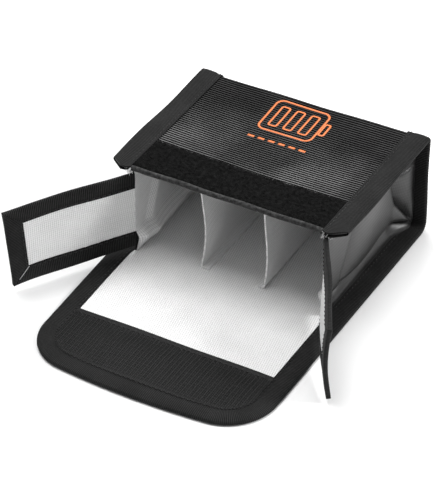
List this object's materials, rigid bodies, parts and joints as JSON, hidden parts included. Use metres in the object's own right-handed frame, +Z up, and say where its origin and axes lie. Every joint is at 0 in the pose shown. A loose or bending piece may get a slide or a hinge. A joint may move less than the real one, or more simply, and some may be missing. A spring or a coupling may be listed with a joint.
{
  "type": "lipo safe bag",
  "caption": "Box-shaped bag of bound coated cloth with a pale lining, dividers, two side flaps and a round-cornered hook-and-loop lid that folds up over the mouth.",
  "frame": {"origin": "on the surface the bag stands on, at the middle of the line where the lid folds, which is also the middle of the bounding box's base", "axes": "+Z up; +Y from the mouth to the closed rear; the open lid lies flat towards -Y; +X to the right as seen looking into the mouth"},
  "size_m": [0.1958, 0.2018, 0.0611],
  "materials": {
    "coated_fabric": "charcoal coated woven cloth with a fine grid weave and a soft sheen",
    "lining_fabric": "matte white glass-cloth lining with a fine twill",
    "binding_tape": "matte black ribbed binding tape, stitched",
    "hook_tape": "black hook tape in close rows",
    "loop_tape": "black fuzzy loop tape"
  },
  "bodies": {
    "root": {"outer_shell": "coated_fabric", "inner_lining": "lining_fabric", "mouth_hem": "binding_tape", "loop_strip": "loop_tape", "left_gusset": "coated_fabric", "right_gusset": "coated_fabric", "left_gusset_lining": "lining_fabric", "right_gusset_lining": "lining_fabric", "left_divider": "lining_fabric", "right_divider": "lining_fabric", "left_edge_binding": "binding_tape", "right_edge_binding": "binding_tape"},
    "lid": {"lid_shell": "coated_fabric", "lid_lining": "lining_fabric", "hook_strip_lower": "hook_tape", "lid_left_binding": "binding_tape", "lid_right_binding": "binding_tape"},
    "lid_tip": {"lid_tip_shell": "coated_fabric", "lid_tip_lining": "lining_fabric", "hook_strip": "hook_tape", "lid_tip_binding": "binding_tape"},
    "left_flap": {"left_flap_shell": "coated_fabric", "left_flap_lining": "lining_fabric", "left_flap_binding": "binding_tape"},
    "right_flap": {"right_flap_shell": "coated_fabric", "right_flap_lining": "lining_fabric", "right_flap_binding": "binding_tape"}
  },
  "joints": [
    {"name": "lid_fold", "type": "hinge", "parent": "root", "child": "lid", "pos_m": [0, 0, 0.003], "axis": [-1, 0, 0], "range_deg": [0, 90], "deforming": ["left_flap_shell", "left_flap_lining", "left_flap_binding", "right_flap_shell", "right_flap_lining", "right_flap_binding"]},
    {"name": "lid_tip_fold", "type": "hinge", "parent": "lid", "child": "lid_tip", "pos_m": [0, -0.059, 0.003], "axis": [-1, 0, 0], "range_deg": [0, 90]},
    {"name": "left_flap_fold", "type": "hinge", "parent": "root", "child": "left_flap", "pos_m": [-0.0575, 0.0045, 0.0305], "axis": [0, 0, 1], "range_deg": [-55, 121]},
    {"name": "right_flap_fold", "type": "hinge", "parent": "root", "child": "right_flap", "pos_m": [0.0575, 0.0045, 0.0305], "axis": [0, 0, -1], "range_deg": [-55, 118]}
  ]
}
